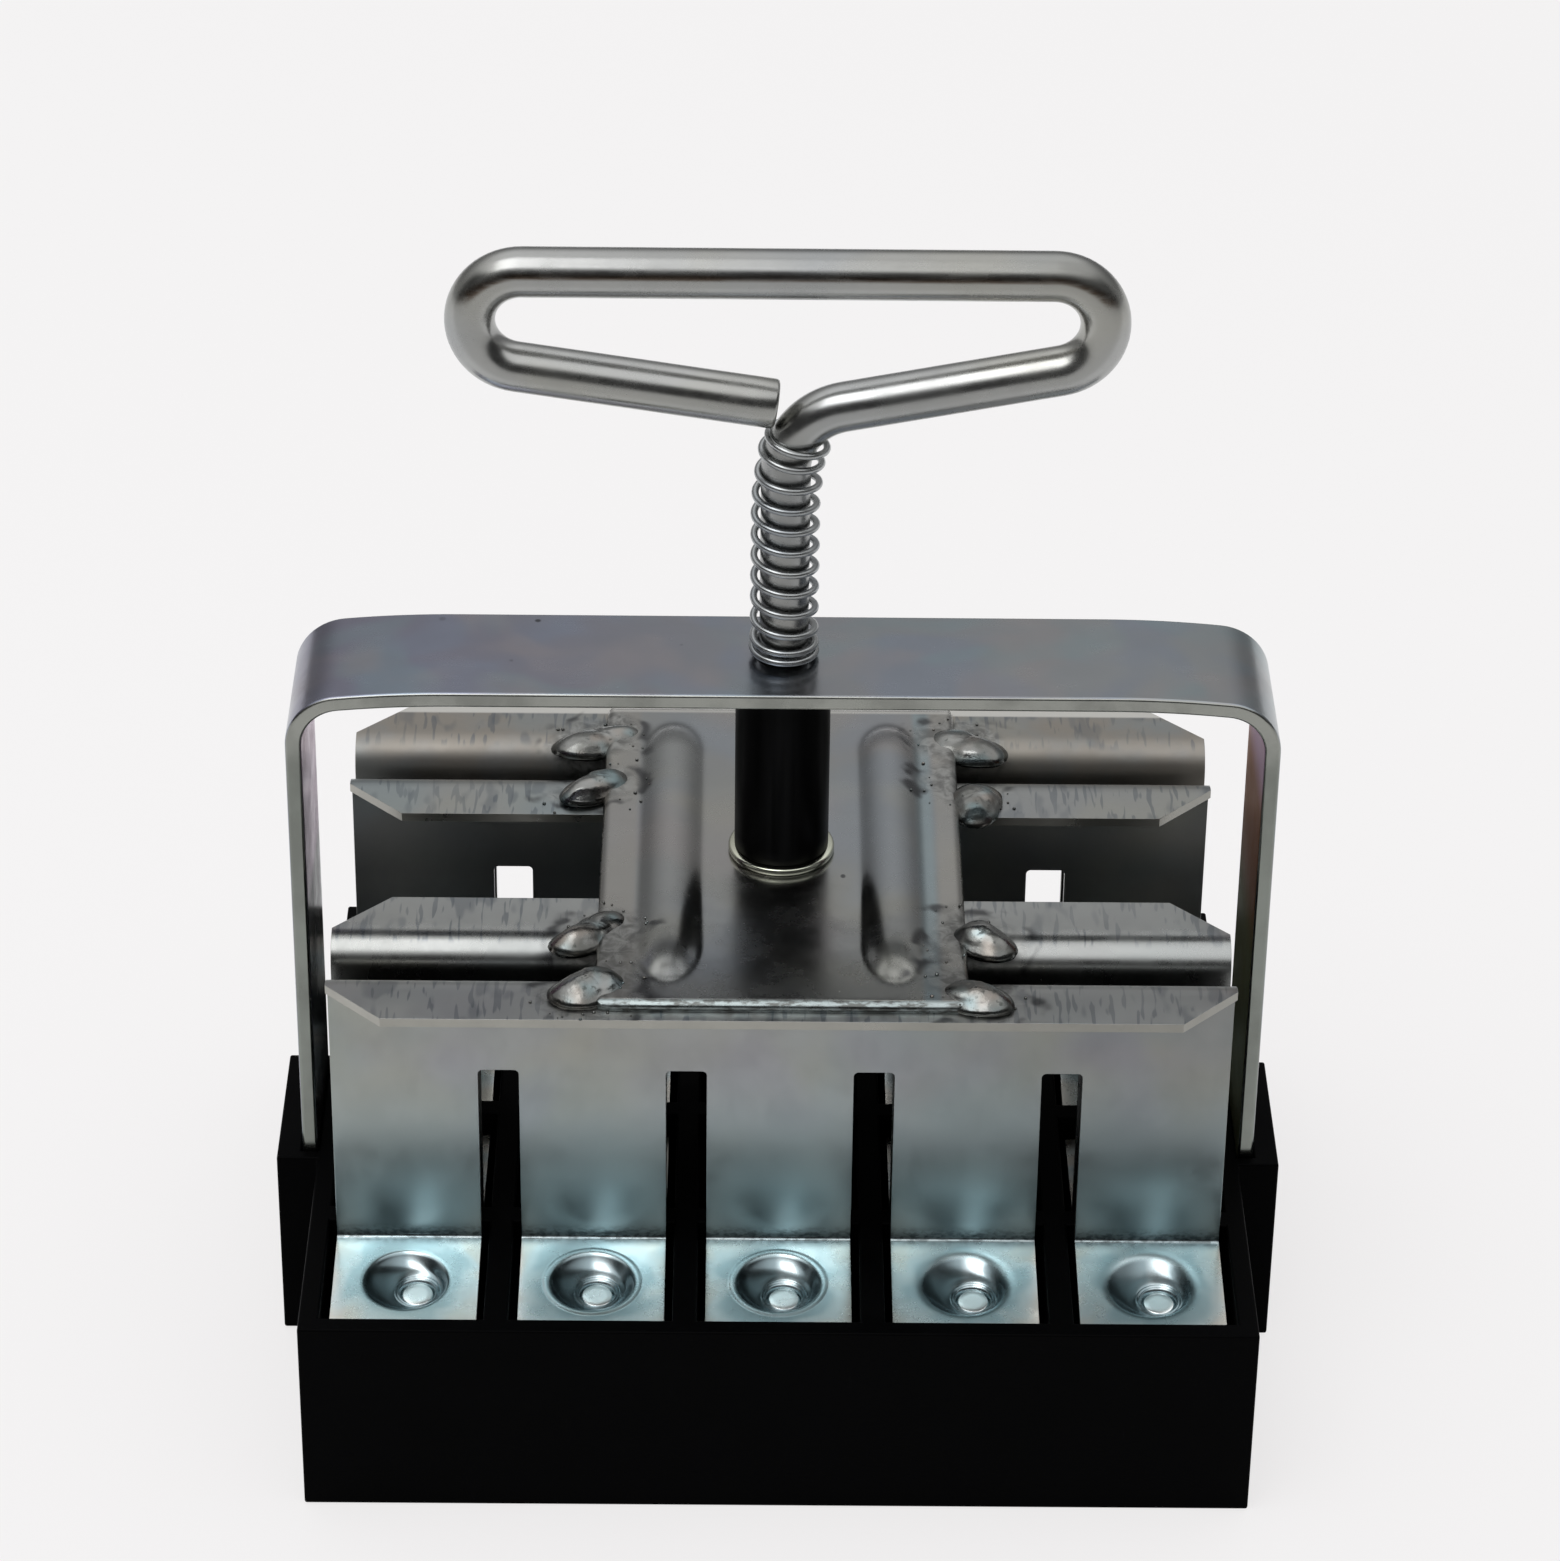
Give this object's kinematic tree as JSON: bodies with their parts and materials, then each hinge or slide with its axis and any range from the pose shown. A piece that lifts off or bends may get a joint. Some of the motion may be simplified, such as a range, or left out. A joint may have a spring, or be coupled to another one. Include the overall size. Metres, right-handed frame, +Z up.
{
  "type": "soil blocker",
  "caption": "Hand tool that presses a grid of small soil blocks for seedlings: plastic cell block, steel strap and a sprung pusher with a loop handle.",
  "frame": {"origin": "middle of the mould block's bottom face, on the plane that the tool stands on", "axes": "+Z up along the rod, +X to the user's right along the grip, +Y away from the user"},
  "size_m": [0.1274, 0.094, 0.1496],
  "materials": {
    "block_plastic": "matte black moulded plastic",
    "sleeve_plastic": "glossy black tube",
    "strap_zinc": "zinc plate with a blue-grey passivate",
    "comb_zinc": "zinc plate with faint yellow and blue tints",
    "plate_zinc": "zinc plate, soft satin",
    "rod_zinc": "bright zinc plated rod",
    "washer_zinc": "bright zinc plate",
    "spring_wire": "bright spring wire",
    "weld_metal": "plated weld bead, glossy and uneven",
    "pin_steel": "bright plated steel",
    "rivet_steel": "plain steel"
  },
  "bodies": {
    "mould": {"mould_block": "block_plastic", "strap": "strap_zinc", "strap_rivet_left": "rivet_steel", "strap_rivet_right": "rivet_steel", "spring": "spring_wire"},
    "pusher": {"handle_rod": "rod_zinc", "sleeve": "sleeve_plastic", "washer": "washer_zinc", "bridge_plate": "plate_zinc", "rod_weld": "weld_metal", "comb_1": "comb_zinc", "comb_2": "comb_zinc", "comb_3": "comb_zinc", "comb_4": "comb_zinc", "dibber_pin_r1_c1": "pin_steel", "dibber_pin_r1_c2": "pin_steel", "dibber_pin_r1_c3": "pin_steel", "dibber_pin_r1_c4": "pin_steel", "dibber_pin_r1_c5": "pin_steel", "dibber_pin_r2_c1": "pin_steel", "dibber_pin_r2_c2": "pin_steel", "dibber_pin_r2_c3": "pin_steel", "dibber_pin_r2_c4": "pin_steel", "dibber_pin_r2_c5": "pin_steel", "dibber_pin_r3_c1": "pin_steel", "dibber_pin_r3_c2": "pin_steel", "dibber_pin_r3_c3": "pin_steel", "dibber_pin_r3_c4": "pin_steel", "dibber_pin_r3_c5": "pin_steel", "dibber_pin_r4_c1": "pin_steel", "dibber_pin_r4_c2": "pin_steel", "dibber_pin_r4_c3": "pin_steel", "dibber_pin_r4_c4": "pin_steel", "dibber_pin_r4_c5": "pin_steel", "weld_r1_left": "weld_metal", "weld_r1_right": "weld_metal", "weld_r2_left": "weld_metal", "weld_r2_right": "weld_metal", "weld_r3_left": "weld_metal", "weld_r3_right": "weld_metal", "weld_r4_left": "weld_metal", "weld_r4_right": "weld_metal"}
  },
  "joints": [
    {"name": "plunge", "type": "slide", "parent": "mould", "child": "pusher", "axis": [0, 0, -1], "range_m": [0, 0.016], "stiffness_N_per_m": 1600, "springref_m": -0.0055, "deforming": ["spring"]}
  ]
}
